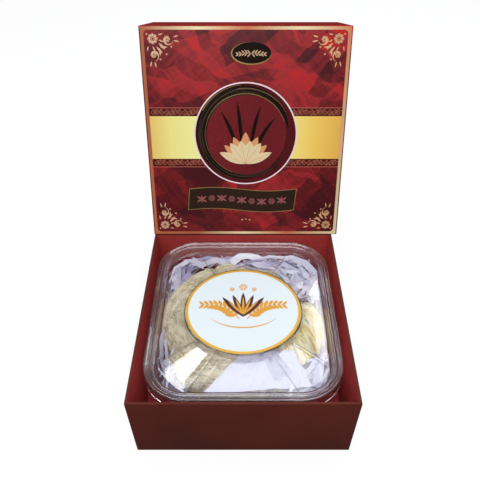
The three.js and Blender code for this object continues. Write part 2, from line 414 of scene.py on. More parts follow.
painted_red = start_material("lid_painted_red", tone(133, 40, 42), 0.4, Specular_IOR_Level=0.15)
place = object_place(painted_red, turn=(LEAN, 0, 0))
torn = noise_at(painted_red, place, 55.0, 6.0).outputs["Color"]
bent = noise_at(painted_red, place, 16.0, 2.0).outputs["Color"]
stirred = vector_math(painted_red, "ADD", place, vector_math(painted_red, "SCALE", torn, TEAR))
stirred = vector_math(painted_red, "ADD", stirred, vector_math(painted_red, "SCALE", bent, BEND))
tones = 0.0
for channel, (angle, length, breadth) in enumerate(STROKES):
    strokes = stroke_space(painted_red, stirred, angle, length, breadth)
    cells = add_node(painted_red, "ShaderNodeTexVoronoi", {"Vector": strokes, "Scale": 1.0})
    parts = add_node(painted_red, "ShaderNodeSeparateColor", {"Color": cells.outputs["Color"]})
    tones = number_math(painted_red, "MULTIPLY_ADD", parts.outputs[channel], STROKE_WEIGHT, tones)
for angle, weight in HAIR_WEIGHTS:
    strokes = stroke_space(painted_red, stirred, angle, HAIR_LENGTH, HAIR_BREADTH)
    hairs = noise_at(painted_red, strokes, 1.0, 5.0)
    tones = number_math(painted_red, "MULTIPLY_ADD", hairs.outputs["Fac"], weight, tones)
height = add_node(painted_red, "ShaderNodeSeparateXYZ", {"Vector": place}).outputs["Z"]
fade = map_range(painted_red, height, *FADE_HEIGHTS, *FADE_VALUES)
tones = number_math(painted_red, "ADD", tones, fade)
reds = [
    (0.2, tone(74, 22, 28)), (0.38, tone(104, 28, 32)), (0.54, tone(136, 34, 38)),
    (0.68, tone(160, 44, 48)), (0.82, tone(190, 36, 38)),
]
feed(painted_red, ramp(painted_red, tones, reds), "Base Color")
bump(painted_red, torn, 0.05, 0.0002)
side_red = paper_finish("lid_side_red", tone(112, 26, 24), tone(146, 36, 30), 0.7, gloss=0.02)
print("painted red nodes:", len(painted_red.node_tree.nodes))
lid_lining = paper_finish("lid_lining_paper", tone(120, 34, 36), tone(142, 42, 44), 0.55)

# %% [markdown]
# ## The lid
# The lid is a deeper box than the tray and slides over it. It is made like the tray, upright, with
# its hollow pushed in from the rear, and then placed by the matrix.

# %% Model the lid
upright_low = Vector((-LID_WIDTH / 2, 0, 0))
upright_high = Vector((LID_WIDTH / 2, LID_DEPTH, LID_LENGTH))
lid = open_box("gift_box_lid", upright_low, upright_high, BOARD, Vector((0, 1, 0)))
use_modifier(lid, "BEVEL", width=EDGE_ROUND, segments=3, limit_method="ANGLE")


def lid_paper(face):
    """1 for the lining, 2 for the plain sides and 0 for the printed face."""
    beside = face.center - Vector((0, LID_DEPTH / 2, LID_LENGTH / 2))
    is_wall = abs(face.normal.y) < 0.5
    faces_in = is_wall and Vector((beside.x, 0, beside.z)).dot(face.normal) < 0
    if faces_in or (face.normal.y > 0.9 and face.center.y < LID_DEPTH / 2):
        return 1
    return 2 if is_wall else 0


papers = [lid_paper(face) for face in lid.data.polygons]
lid.matrix_world = upright_to_place
finish_piece(lid, painted_red, "lid_board", "box_lid")
paint_faces(lid, lambda face: papers[face.index], lid_lining, side_red)
print("lid from", lid.bound_box[0][:], "lined faces", papers.count(1))

# %% [markdown]
# ## Drawing on the face
# The frame, band, medallion and ornaments are foil and ink on the face. As textures they would
# blur, so each is a thin solid drawn flat in millimetres, with its origin at the middle of the
# face's lower edge. Two pens are enough: one fills outlines and leaves inner loops as holes, and
# one draws strokes of changing width. Later layers lie a few hundredths of a millimetre higher.

# %% Two pens for the printed face
LAYER = 0.05
STROKE_STEP = 0.006
STROKE_LEVELS = 6


def place_on_face(piece, layer, material):
    piece.matrix_world = face_to_place @ Matrix.Translation((0, 0, layer * LAYER))
    finish_piece(piece, material, "lid_board")


def fill(name, loops, layer, material):
    """Outlines filled as one flat solid, whose doubled corners are merged."""
    curve = bpy.data.curves.new(name, "CURVE")
    curve.dimensions = "2D"
    curve.fill_mode = "BOTH"
    curve.extrude = LAYER / 2
    for loop in loops:
        spline = curve.splines.new("POLY")
        spline.points.add(len(loop) - 1)
        for point, (x, y) in zip(spline.points, loop):
            point.co = (x, y, 0, 1)
        spline.use_cyclic_u = True
    pick(new_piece(name, curve))
    bpy.ops.object.convert(target="MESH")
    piece = bpy.context.object
    select_parts(piece, "VERT", lambda corner: True)
    bpy.ops.mesh.remove_doubles(threshold=0.002)
    bpy.ops.mesh.normals_make_consistent(inside=False)
    object_mode()
    place_on_face(piece, layer, material)


def stroke_mesh(name, strokes):
    """strokes is a list of (points, widths), or one width; each becomes one flat ribbon."""
    corners, faces = [], []
    for number, (points, widths) in enumerate(strokes):
        line = np.array(points, float)
        along = unit(np.gradient(line, axis=0))
        widths = np.broadcast_to(widths, len(line))[:, None]
        side = np.stack([-along[:, 1], along[:, 0]], axis=1) * widths / 2
        first = len(corners)
        height = number % STROKE_LEVELS * STROKE_STEP
        for left, right in zip(line + side, line - side):
            corners += [(*left, height), (*right, height)]
        faces += [(a + 1, a + 3, a + 2, a) for a in range(first, len(corners) - 2, 2)]
    return mesh_piece(name, corners, faces)


def draw(name, strokes, layer, material):
    piece = stroke_mesh(name, strokes)
    use_modifier(piece, "SOLIDIFY", thickness=LAYER, offset=0)
    place_on_face(piece, layer, material)


def around(centre, radius, turn, squash=1.0):
    """The point at a distance from a centre, at an angle in radians."""
    return centre[0] + radius * math.cos(turn), centre[1] + radius * squash * math.sin(turn)


def arc(centre, radius, start, end, count=24, squash=1.0):
    """Points on an arc, from start to end in degrees."""
    turns = np.radians(np.linspace(start, end, count))
    return [around(centre, radius, turn, squash) for turn in turns]


def swelled(count, ends, more):
    """A stroke's widths, which grow from the ends' width towards its middle."""
    return ends + more * np.sin(np.linspace(0, np.pi, count))


def round_rectangle(left, right, bottom, top, radius):
    corners = (
        ((right - radius, top - radius), 0),
        ((left + radius, top - radius), 90),
        ((left + radius, bottom + radius), 180),
        ((right - radius, bottom + radius), 270),
    )
    return [point for centre, start in corners for point in arc(centre, radius, start, start + 90, 8)]


# %% [markdown]
# ## Gold foil
# The frame's foil runs from copper to pale yellow and back; the pale parts are painted highlights,
# as brushed foil shows under a lamp. The broad band is paler and smoother. Each takes its colour
# from a ramp that runs across the face.
# The inks are plain colours.

# %% Foils and inks
def foil(name, stops, roughness, metallic, along=(1.0, 0.0, 0.0), low=lid_low.x, high=lid_high.x):
    """The stops run over the face from low to high, in metres along a direction."""
    material = start_material(name, stops[0][1], roughness, Metallic=metallic)
    place = object_place(material)
    run = add_node(material, "ShaderNodeVectorMath", {0: place, 1: along}, operation="DOT_PRODUCT")
    share = map_range(material, run.outputs["Value"], low, high)
    feed(material, ramp(material, share, stops), "Base Color")
    bump(material, noise_at(material, place, 1500.0, 2.0).outputs["Fac"], 0.12, 0.00003)
    return material


copper = tone(216, 124, 82)
# The pale stops of the frame's ramp are painted highlights of the lamp on the foil.
painted_glint_gold = tone(255, 238, 186)
frame_foil = foil(
    "frame_foil",
    [(0.0, copper), (0.22, tone(182, 104, 72)), (0.42, painted_glint_gold), (0.6, copper),
     (0.8, painted_glint_gold), (1.0, copper)],
    0.38, 0.35, along=(0.95, 0.28, 0.12), low=-0.07, high=0.13,
)
band_foil = foil(
    "band_foil",
    [(0.0, tone(240, 196, 98)), (0.12, tone(252, 238, 142)), (0.28, tone(255, 252, 168)),
     (0.7, tone(255, 240, 142)), (0.84, tone(255, 212, 98)), (1.0, tone(240, 178, 76))],
    0.4, 0.0,
)
ornament_foil = foil(
    "ornament_foil",
    [(0.0, tone(238, 196, 160)), (0.3, tone(222, 160, 120)),
     (0.7, tone(240, 200, 150)), (1.0, tone(226, 168, 120))],
    0.4, 0.3,
)
line_ink = start_material("rose_line_ink", tone(196, 104, 84), 0.45)
scroll_ink = start_material("scroll_ink", tone(190, 108, 80), 0.5)
maroon_ink = start_material("maroon_ink", tone(84, 22, 26), 0.42, Specular_IOR_Level=0.1)
olive_ink = start_material("olive_black_ink", tone(26, 16, 10), 0.35, Specular_IOR_Level=0.1)
banner_ink = start_material("banner_brown_ink", tone(48, 32, 24), 0.35, Specular_IOR_Level=0.12)
hair_gold = start_material("hairline_gold", tone(176, 140, 78), 0.4, Metallic=0.4)
white_ink = start_material("white_ring_ink", tone(250, 226, 228), 0.4)
cream_ink = start_material("cream_petal_ink", tone(236, 214, 168), 0.45)
peach_ink = start_material("peach_petal_ink", tone(226, 158, 104), 0.45)

# %% [markdown]
# ## Frame, band and borders
# The gold frame stands just inside the face's edge with round inner corners. The band crosses the
# face behind the medallion, between two dark borders of running scrolls and two thin lines.

# %% Frame and band
HALF = FACE_WIDTH / 2
frame_outside = round_rectangle(-HALF + 1.0, HALF - 1.0, 0.5, FACE_HEIGHT - 0.5, 0.8)
frame_inside = round_rectangle(-HALF + 3.5, HALF - 3.5, 2.9, FACE_HEIGHT - 2.9, 3.2)
fill("gold_frame", [frame_outside, frame_inside[::-1]], 1, frame_foil)
FIELD_HALF = HALF - 3.6
BAND = (70.2, 106.1)
BORDERS = ((63.5, 70.2), (106.1, 112.4))


def bar(bottom, top):
    return [(-FIELD_HALF, bottom), (FIELD_HALF, bottom), (FIELD_HALF, top), (-FIELD_HALF, top)]


fill("gold_band", [bar(*BAND)], 1, band_foil)
for number, border in enumerate(BORDERS):
    fill(f"border_ground_{number}", [bar(*border)], 1, maroon_ink)
LINES = (63.2, 112.8)
draw("border_lines", [([(-FIELD_HALF, y), (FIELD_HALF, y)], 0.5) for y in LINES], 2, line_ink)


# %% Running scrolls
def spiral(centre, radius, turns, start, hand, count=26):
    """A scroll that winds in to its centre; hand is 1 or -1."""
    points = []
    for step in range(count):
        share = step / (count - 1)
        angle = start + hand * 2 * math.pi * turns * share
        points.append(around(centre, radius * (1 - 0.86 * share), angle))
    return points


SCROLL_STEP = 7.4
scrolls = []
for bottom, top in BORDERS:
    middle = (bottom + top) / 2
    count = int(2 * FIELD_HALF / SCROLL_STEP)
    for number in range(count):
        x = (number - (count - 1) / 2) * SCROLL_STEP
        hand = 1 if number % 2 else -1
        for side in (-1, 1):
            points = spiral((x + 1.7 * side, middle), 2.2, 1.6, math.pi / 2, -side * hand)
            scrolls.append((points, np.linspace(0.42, 0.22, len(points))))
        start = 0 if hand > 0 else 180
        cup = arc((x + SCROLL_STEP / 2, middle - hand * 2.9), 1.7, start, start + 180, 12)
        scrolls.append((cup, 0.34))
draw("border_scrolls", scrolls, 2, scroll_ink)

# %% [markdown]
# ## Corner filigree
# Each corner has a small spray in pale foil: rosettes, curls and leaves that thin out along both
# edges. One corner is drawn and the other three are the same strokes mirrored. It is a common
# ornament, so its petals and curls are laid out by simple rules.

# %% Draw the corner sprays
def petal(root, tip, breadth, count=9):
    """A leaf from root to tip as one stroke that swells and closes."""
    root, tip = np.array(root, float), np.array(tip, float)
    shares = np.linspace(0, 1, count)
    points = [tuple(root + (tip - root) * share) for share in shares]
    return points, breadth * np.sin(np.pi * shares) ** 0.8 + 0.06


def rosette(centre, radius, petals):
    strokes = []
    for turn in 2 * math.pi * np.arange(petals) / petals:
        root, tip = around(centre, 0.42 * radius, turn), around(centre, radius, turn)
        strokes.append(petal(root, tip, 0.52 * radius))
    strokes.append((arc(centre, 0.3 * radius, 0, 360, 16), 0.4))
    turns = np.linspace(0, 2 * math.pi, 8 * petals + 1)
    outline = [around(centre, radius * (1.02 + 0.09 * math.cos(petals * turn)), turn) for turn in turns]
    strokes.append((outline, 0.3))
    return strokes


def corner_spray():
    """Strokes for the corner at the origin, growing along +x and +y."""
    strokes = rosette((10.4, 9.4), 3.5, 8)
    strokes += rosette((21.4, 9.6), 2.1, 6) + rosette((10.4, 21.0), 2.1, 6)
    for middle, start, hand in (((22.0, 10.0), 0.3, 1), ((10.6, 21.6), 1.3, -1)):
        strokes.append((spiral(middle, 4.4, 0.9, start, hand, 22), 0.3 + 1.5 * swelled(22, 0, 1) ** 2))
    for root, tip, breadth in (
        ((15.0, 12.4), (19.6, 17.2), 1.8), ((13.0, 15.0), (17.4, 20.0), 1.6),
        ((16.0, 15.6), (21.6, 15.4), 1.3), ((15.4, 16.4), (15.6, 22.0), 1.3),
        ((26.4, 8.2), (30.4, 7.0), 1.0), ((26.4, 10.6), (31.0, 11.6), 1.0),
        ((8.6, 26.0), (7.4, 30.0), 1.0), ((11.0, 26.2), (12.0, 30.6), 1.0),
        ((14.8, 6.6), (18.4, 5.8), 0.9), ((6.6, 14.8), (5.8, 18.4), 0.9),
        ((15.2, 10.2), (18.6, 11.8), 1.0), ((10.0, 15.0), (12.0, 18.4), 1.0),
    ):
        strokes.append(petal(root, tip, breadth))
    for dot in ((24.6, 15.2), (15.6, 24.6), (20.6, 20.6), (6.0, 6.0)):
        strokes.append((arc(dot, 0.45, 0, 360, 10), 0.5))
    return strokes


CORNERS = {"upper_left": (1, -1), "upper_right": (-1, -1), "lower_left": (1, 1), "lower_right": (-1, 1)}
for name, (flip_x, flip_y) in CORNERS.items():
    start_x, start_y = -flip_x * HALF, (0 if flip_y > 0 else FACE_HEIGHT)
    strokes = [
        ([(start_x + flip_x * x, start_y + flip_y * y) for x, y in points], widths)
        for points, widths in corner_spray()
    ]
    draw(f"corner_spray_{name}", strokes, 1, ornament_foil)

# %% [markdown]
# ## The medallion
# A white ring holds a maroon ground, a dark brushed ring that swells to the left and thins out to
# the right, and a red disc. The picture in the disc is a plain lotus with reeds, drawn from petals.

# %% Rings of the medallion
MEDAL = (0.0, 90.5)
MEDAL_RADIUS = 42.8
DISC_RADIUS = 33.6
BRUSH_RADIUS = 35.6
BRUSH_FROM, BRUSH_TO = 8, 318


def disc(radius):
    return arc(MEDAL, radius, 0, 360 * (1 - 1 / 96), 96)


fill("medallion_ground", [disc(MEDAL_RADIUS - 0.6)], 3, maroon_ink)
fill("medallion_white_ring", [disc(MEDAL_RADIUS), disc(MEDAL_RADIUS - 1.1)[::-1]], 4, white_ink)
disc_red = paper_finish("medallion_disc_red", tone(98, 26, 32), tone(130, 36, 42), 0.4)
fill("medallion_red_disc", [disc(DISC_RADIUS)], 4, disc_red)
shares = np.linspace(0, 1, 90)
swell = 0.5 + 8.2 * np.sin(np.pi * shares ** 0.85) ** 1.1
turns = np.radians(BRUSH_FROM + (BRUSH_TO - BRUSH_FROM) * shares)
brush_middle = BRUSH_RADIUS + 1.1 * np.sin(np.pi * shares)
brush = [around(MEDAL, radius, turn) for radius, turn in zip(brush_middle, turns)]
draw("medallion_brushed_ring", [(brush, swell)], 5, olive_ink)
chance = np.random.default_rng(5)
bristles = []
for number in range(26):
    start = chance.uniform(BRUSH_FROM - 14, BRUSH_TO - 70)
    length = chance.uniform(40, 110)
    bow = math.sin(math.pi * min(1, max(0, (start + length / 2) / 320)))
    radius = BRUSH_RADIUS + chance.uniform(-3.9, 4.6) * bow
    bristles.append((arc(MEDAL, radius, start, start + length, 26), swelled(26, 0.05, 0.28)))
draw("medallion_bristle_lines", bristles, 6, start_material("bristle_ink", tone(74, 48, 30), 0.45))
tails = []
for number in range(5):
    line = arc(MEDAL, 34.4 + 1.2 * number, BRUSH_TO - 8, BRUSH_TO + 22 - 6 * number, 14)
    tails.append((line, np.linspace(0.7, 0.08, 14)))
draw("medallion_brush_tails", tails, 5, olive_ink)
hairs = [
    (arc(MEDAL, 40.6, 95, 150, 30), np.linspace(0.15, 0.6, 30)),
    (arc(MEDAL, 33.7, 20, 250, 60), swelled(60, 0.2, 0.35)),
    (arc(MEDAL, 37.9, 30, 100, 30), np.linspace(0.1, 0.45, 30)),
]
draw("medallion_hairlines", hairs, 6, hair_gold)

# %% A lotus with reeds
LOTUS_ROOT = (0.0, 66.0)


def lotus_petals(leaves):
    """Petals from the root, each given by its angle in degrees, its length and its breadth."""
    return [
        petal(LOTUS_ROOT, around(LOTUS_ROOT, length, math.radians(turn)), breadth, 17)
        for turn, length, breadth in leaves
    ]


petals_back = lotus_petals(((90, 27, 9), (66, 25, 8), (114, 25, 8), (42, 24, 7), (138, 24, 7)))
petals_front = lotus_petals(
    ((78, 20, 9), (102, 20, 9), (54, 22, 8), (126, 22, 8), (24, 24, 7), (156, 24, 7))
)
draw("lotus_inner_petals", petals_back, 6, peach_ink)
draw("lotus_outer_petals", petals_front, 7, cream_ink)
draw("lotus_veins", [(points, 0.3) for points, widths in petals_front], 8, peach_ink)
reeds = []
shares = np.linspace(0, 1, 24)
for x, lean_x, height in ((-7, -13, 42), (-3, -4, 50), (4, 8, 46), (8, 16, 37)):
    points = [(x + lean_x * s ** 2, 67.5 + height * s) for s in shares]
    reeds.append((points, 0.5 + 2.6 * np.sin(np.pi * shares ** 1.6) ** 1.2))
draw("lotus_reeds", reeds, 5, olive_ink)

# %% [markdown]
# ## Oval, banner and small sprig
# A dark oval with a bright lower rim sits near the top and a dark banner with wavy edges below the
# medallion. Both are bare of words: the banner carries a running ornament of rosettes and leaf
# crosses instead, and the oval two leaf sprays.

# %% Oval and banner
OVAL = (4.2, 154.6)
fill("oval_rim", [arc(OVAL, 15.8, 0, 354, 60, squash=0.53)], 1, hair_gold)
fill("oval_ground", [arc((OVAL[0] + 0.5, OVAL[1] + 0.45), 15.2, 0, 354, 60, squash=0.52)], 2, olive_ink)
BANNER = {"left": -49.6, "right": 43.0, "bottom": 23.8, "top": 42.8, "wave": 1.7}


def banner_wave(share):
    return BANNER["wave"] * np.sin(2 * np.pi * share + 0.1)


def banner_edge(height, grow=0.0):
    left, right = BANNER["left"] - grow, BANNER["right"] + grow
    slide = (height - 31) * 0.09
    return [
        (left + (right - left) * share + slide, height + banner_wave(share))
        for share in np.linspace(0, 1, 40)
    ]


for name, grow, layer, material in (("banner_outline", 0.5, 1, hair_gold), ("banner", 0.0, 2, banner_ink)):
    lower = banner_edge(BANNER["bottom"] - grow, grow)
    upper = banner_edge(BANNER["top"] + grow, grow)
    fill(name, [lower + upper[::-1]], layer, material)
banner_work = []
for number in range(9):
    share = (number + 0.5) / 9
    x = BANNER["left"] + 7 + (BANNER["right"] - BANNER["left"] - 14) * share
    y = 33.2 + banner_wave(share)
    if number % 2:
        banner_work += rosette((x, y), 2.5, 6)
        continue
    for side in (1, -1):
        leaves = ((4.2 * side, 2.6, 1.5), (4.2 * side, -2.6, 1.5), (0, 3.4 * side, 1.3))
        banner_work += [petal((x, y), (x + right, y + up), breadth) for right, up, breadth in leaves]
draw("banner_ornament", banner_work, 3, start_material("banner_rose_ink", tone(150, 78, 74), 0.5))
oval_sprays = []
for side in (1, -1):
    for number in range(5):
        root = (OVAL[0] + side * (0.6 + 2.3 * number), OVAL[1] + 0.5 * math.sin(1.3 * number))
        for up in (1, -1):
            tip = (root[0] + side * 2.4, root[1] + up * (2.6 - 0.3 * number))
            oval_sprays.append(petal(root, tip, 1.0))
    stem = [(OVAL[0] + side * 12.4 * t, OVAL[1] + 0.5 * math.sin(7 * t)) for t in np.linspace(0, 1, 20)]
    oval_sprays.append((stem, np.linspace(0.4, 0.1, 20)))
draw("oval_sprays", oval_sprays, 3, start_material("oval_pale_ink", tone(206, 168, 128), 0.45))
sprig = [petal((0.4 + 2.4 * k, 14.2), (0.4 + 4.2 * k, 15.4 - abs(k)), 1.2) for k in (-1, 0, 1)]
draw("small_sprig", sprig, 1, ornament_foil)

# %% [markdown]
# ## Clear plastic
# The tub and its lid are one thin clear film each. A glass-like shader mirrors the lamp in every
# facet and bends what lies below. Light that only falls through, to the nests, takes a straight
# transparent path instead: the inside is then lit as evenly as in the photograph.

# %% Clear films
def film(name, colour, roughness, clearness, through):
    """through is the tint of the light that falls straight through the film."""
    material = start_material(name, colour, roughness, Transmission_Weight=clearness, IOR=1.57)
    path = add_node(material, "ShaderNodeLightPath").outputs
    passing = number_math(material, "MAXIMUM", path["Is Shadow Ray"], path["Is Diffuse Ray"])
    straight = add_node(material, "ShaderNodeBsdfTransparent", {"Color": through}).outputs[0]
    inputs = {0: passing, 1: shader_of(material).outputs[0], 2: straight}
    either = add_node(material, "ShaderNodeMixShader", inputs)
    tree = material.node_tree
    tree.links.new(either.outputs[0], tree.nodes["Material Output"].inputs["Surface"])
    return material


clear_film = film("clear_film", (0.97, 0.975, 0.99, 1), 0.035, 1.0, (0.96, 0.965, 0.98, 1))
rim_film = film("rim_film", (0.97, 0.93, 0.95, 1), 0.045, 0.99, (0.96, 0.95, 0.97, 1))
# The creases' grey, half-clear film is painted shade for the dark lines of the grooves.
crease_shade_film = film("crease_shade_film", tone(104, 97, 88), 0.3, 0.5, (0.8, 0.8, 0.8, 1))

# %% [markdown]
# ## Pressing a sheet
# Real tubs and lids are pressed from one warm sheet, and the same can be done here. The outline is
# a plane whose corners are bevelled round. From the rim inwards each row is an inset of the middle
# face with some depth, so every row keeps its distance to the outline, and the corners stay round.
# A last modifier gives the sheet its thickness.

# %% Outline, rows and selection
rim_low, rim_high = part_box("tub_lid")
rim_middle = (rim_low + rim_high) / 2
tub_foot = Vector((rim_middle.x, rim_middle.y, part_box("tub")[0].z))
tub_to_place = Matrix.Translation(tub_foot) @ Matrix.Scale(MM, 4)
RIM_HALF = ((rim_high.x - rim_low.x) / 2 / MM, (rim_high.y - rim_low.y) / 2 / MM)
RIM_RADIUS = 33.0
ARC_CENTRE = (RIM_HALF[0] - RIM_RADIUS, RIM_HALF[1] - RIM_RADIUS)
FILM = 0.8


def off_rim(x, y, inset=0.0):
    """How far a point lies outside the rim's outline, or outside a row inset from it."""
    over_x, over_y = np.abs(x) - ARC_CENTRE[0], np.abs(y) - ARC_CENTRE[1]
    in_corner = (over_x > 0) & (over_y > 0)
    return np.where(in_corner, np.hypot(over_x, over_y), np.maximum(over_x, over_y)) - (RIM_RADIUS - inset)


def is_arc_end(x, y):
    """True beside the places where a straight side turns into a corner's arc."""
    x, y = abs(x) - ARC_CENTRE[0], abs(y) - ARC_CENTRE[1]
    return (abs(x) < 0.06 and y > 1) or (abs(y) < 0.06 and x > 1)


def round_sheet(name, inset, height, crease=None):
    """The rounded outline as one face, selected in edit mode; crease parts its arcs' ends."""
    bpy.ops.mesh.primitive_plane_add(size=2, location=(0, 0, height))
    sheet = bpy.context.object
    sheet.name = name
    sheet.scale = (RIM_HALF[0] - inset, RIM_HALF[1] - inset, 1)
    bpy.ops.object.transform_apply(location=True, rotation=False, scale=True)
    select_parts(sheet, "VERT", lambda corner: True)
    bpy.ops.mesh.bevel(offset=RIM_RADIUS - inset, segments=18, affect="VERTICES")
    object_mode()
    corners = sheet.data.vertices

    def is_straight(edge):
        start, end = (corners[index].co for index in edge.vertices)
        return (start - end).length > 20

    select_parts(sheet, "EDGE", is_straight)
    bpy.ops.mesh.subdivide(number_cuts=9)
    object_mode()
    if crease:
        select_parts(sheet, "VERT", lambda corner: is_arc_end(corner.co.x, corner.co.y))
        bpy.ops.mesh.bevel(offset=crease, segments=2, affect="VERTICES")
        object_mode()
    select_parts(sheet, "FACE", lambda face: True)
    return sheet


def press(rows):
    """Insets the selected face through rows of (inset from the rim, height)."""
    for (inset, height), (next_inset, next_height) in zip(rows, rows[1:]):
        bpy.ops.mesh.inset(thickness=next_inset - inset, depth=next_height - height)


# %% Press the tub
TUB_ROWS = [
    (1.5, 57.6), (3.6, 57.5), (4.3, 57.2), (4.7, 56.0), (7.8, 29.6), (11.0, 3.4),
    (11.7, 1.6), (12.9, 0.5), (14.6, 0.0),
]
tub = round_sheet("clear_tub", *TUB_ROWS[0])
press(TUB_ROWS)
object_mode()
use_modifier(tub, "SOLIDIFY", thickness=FILM, offset=1)
tub.matrix_world = tub_to_place
finish_piece(tub, clear_film, "clear_plastic", "tub", smooth=40)

# %% [markdown]
# ## The tub's lid
# From the rim inwards the lid has a rolled double bead, a steep recess wall and a flat margin.
# Inside the margin eight flat facets rise from an octagon to a raised oval seat for the label.
# Insets alone can't give an octagon or an oval, so the last rings are extruded in place, and their
# corners are then moved: to the chord of each arc, and along their own direction to the oval. The
# creases between the facets are fine grooves. Their faces get a grey, half-clear film, which is
# painted shade for the dark lines that the grooves show.

# %% Press the lid's rim and recess
LID_ROWS = [
    (0.0, 58.6), (0.12, 59.2), (0.45, 59.7), (1.0, 59.95), (1.6, 60.0), (2.2, 59.8), (2.9, 59.35),
    (3.6, 59.2), (4.3, 59.35), (5.0, 59.8), (5.7, 60.0), (6.4, 59.95), (7.0, 59.7), (7.5, 59.2),
    (7.9, 58.2), (8.4, 55.2), (8.65, 54.45), (9.0, 54.1), (9.5, 54.0),
]
SKIRT = 8.2
RIM_BREADTH = 8.6
FACET_RISE = 4.0
FACET_START, FACET_INSET = 0.985, 9.6
GROOVE = 0.2
SEAT_HALF = (48.0, 45.0)
CREASE_HALF = 0.42
MARGIN = LID_ROWS[-1]
tub_lid = round_sheet("clear_tub_lid", *LID_ROWS[0], crease=0.3)
print("corners per ring", len(tub_lid.data.vertices))
press(LID_ROWS)


# %% Facets and seat
def chord_point(x, y):
    """Takes a point of the margin's corner arc to the arc's chord."""
    over_x, over_y = abs(x) - ARC_CENTRE[0], abs(y) - ARC_CENTRE[1]
    if over_x < 0 or over_y < 0:
        return x, y
    share = math.atan2(over_y, over_x) / (math.pi / 2)
    arc_radius = RIM_RADIUS - MARGIN[0]
    near_x, near_y = arc_radius * (1 - share), arc_radius * share
    return math.copysign(ARC_CENTRE[0] + near_x, x), math.copysign(ARC_CENTRE[1] + near_y, y)


def add_ring(piece, place):
    """Extrudes the selected face in place, then moves its new corners."""
    bpy.ops.mesh.extrude_region_move(TRANSFORM_OT_translate={"value": (0, 0, 0)})
    object_mode()
    top = next(face for face in piece.data.polygons if face.select)
    for index in top.vertices:
        corner = piece.data.vertices[index]
        corner.co = place(*corner.co)
    bpy.ops.object.mode_set(mode="EDIT")


def octagon(x, y, z):
    return (*chord_point(x, y), z - (GROOVE if is_arc_end(x, y) else 0.0))


def facet_start(x, y, z):
    """A ring just inside the octagon keeps the facets flat up to their border."""
    return FACET_START * x, FACET_START * y, z + (1 - FACET_START) * FACET_RISE


def oval(half_width, half_length, height=None):
    def place(x, y, z):
        share = 1 / math.hypot(x / half_width, y / half_length)
        lift = z + FACET_RISE * FACET_START * (1 - share) if height is None else height
        return x * share, y * share, lift
    return place


add_ring(tub_lid, octagon)
add_ring(tub_lid, facet_start)
add_ring(tub_lid, oval(*SEAT_HALF))
SEAT_ROWS = ((0.5, 56.0), (0.8, 58.0), (0.95, 60.2), (1.15, 60.7), (1.6, 61.0))
for inset, height in SEAT_ROWS:
    add_ring(tub_lid, oval(SEAT_HALF[0] - inset, SEAT_HALF[1] - inset, height))
object_mode()

# %% Draw down the skirt and thicken the sheet
select_parts(tub_lid, "VERT", lambda corner: abs(corner.co.z - LID_ROWS[0][1]) < 0.01)
bpy.ops.mesh.extrude_edges_move(TRANSFORM_OT_translate={"value": (0, 0, -SKIRT)})
object_mode()
use_modifier(tub_lid, "SOLIDIFY", thickness=FILM, offset=-1)

# %% Finish the rim and the creases
fold = RIM_RADIUS - MARGIN[0]
folds = [Vector((ARC_CENTRE[0] + fold, ARC_CENTRE[1], 0)), Vector((ARC_CENTRE[0], ARC_CENTRE[1] + fold, 0))]


def lid_finish(face):
    """1 for a crease between two facets, 2 for the rim and the seat's wall, else 0."""
    at = Vector((abs(face.center.x), abs(face.center.y), 0))
    off_seat = math.hypot(at.x / SEAT_HALF[0], at.y / SEAT_HALF[1])
    if off_rim(at.x, at.y) > -RIM_BREADTH or (0.95 < off_seat < 1.0 and abs(face.normal.z) < 0.8):
        return 2
    off_fold = min(at.cross(corner.normalized()).length for corner in folds)
    in_margin = at.x < RIM_HALF[0] - FACET_INSET and at.y < RIM_HALF[1] - FACET_INSET
    return int(off_fold < CREASE_HALF and in_margin and off_seat > 1 and face.area < 40)


finishes = [lid_finish(face) for face in tub_lid.data.polygons]
tub_lid.matrix_world = tub_to_place
finish_piece(tub_lid, clear_film, "clear_plastic", "tub_lid", smooth=28)
paint_faces(tub_lid, lambda face: finishes[face.index], crease_shade_film, rim_film)
print("creased faces", finishes.count(1), "rim faces", finishes.count(2))

# %% [markdown]
# ## The label
# A round paper sticker lies on the lid's seat, cool white with a gold edge. It is a flat cylinder,
# and an inset of its top face gives the gold ring. Its print is generic: a gold spray with dark
# buds, drawn with the same pens as the box's face.

# %% Cut the label
label_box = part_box("label")
label_middle = (label_box[0] + label_box[1]) / 2
label_half = (label_box[1] - label_box[0]) / 2
label_paper = start_material("label_white_paper", tone(227, 237, 242), 0.3, Specular_IOR_Level=0.3)
label_gold = start_material("label_gold_edge", tone(226, 176, 62), 0.35, Metallic=0.25)
bpy.ops.mesh.primitive_cylinder_add(vertices=128, radius=1, depth=2, location=label_middle)
label = bpy.context.object
label.name = "round_label"
label.scale = label_half
bpy.ops.object.transform_apply(location=False, rotation=False, scale=True)
select_parts(label, "FACE", lambda face: face.normal.z > 0.9)
bpy.ops.mesh.inset(thickness=2.1 * MM)
object_mode()
finish_piece(label, label_paper, "label_paper", "label")
paint_faces(label, lambda face: abs(face.normal.z) <= 0.9 or len(face.vertices) <= 4, label_gold)

# %% Print the label
label_to_place = Matrix.Translation((label_middle.x, label_middle.y, label_box[1].z)) @ Matrix.Scale(MM, 4)
label_ochre = start_material("label_ochre_ink", tone(224, 158, 48), 0.4)
label_maroon = start_material("label_maroon_ink", tone(72, 30, 40), 0.4)


def print_on_label(name, strokes, layer, material):
    piece = stroke_mesh(name, strokes)
    use_modifier(piece, "SOLIDIFY", thickness=0.04, offset=0)
    piece.matrix_world = label_to_place @ Matrix.Translation((0, 0, 0.02 + 0.03 * layer))
    finish_piece(piece, material, "label_paper")


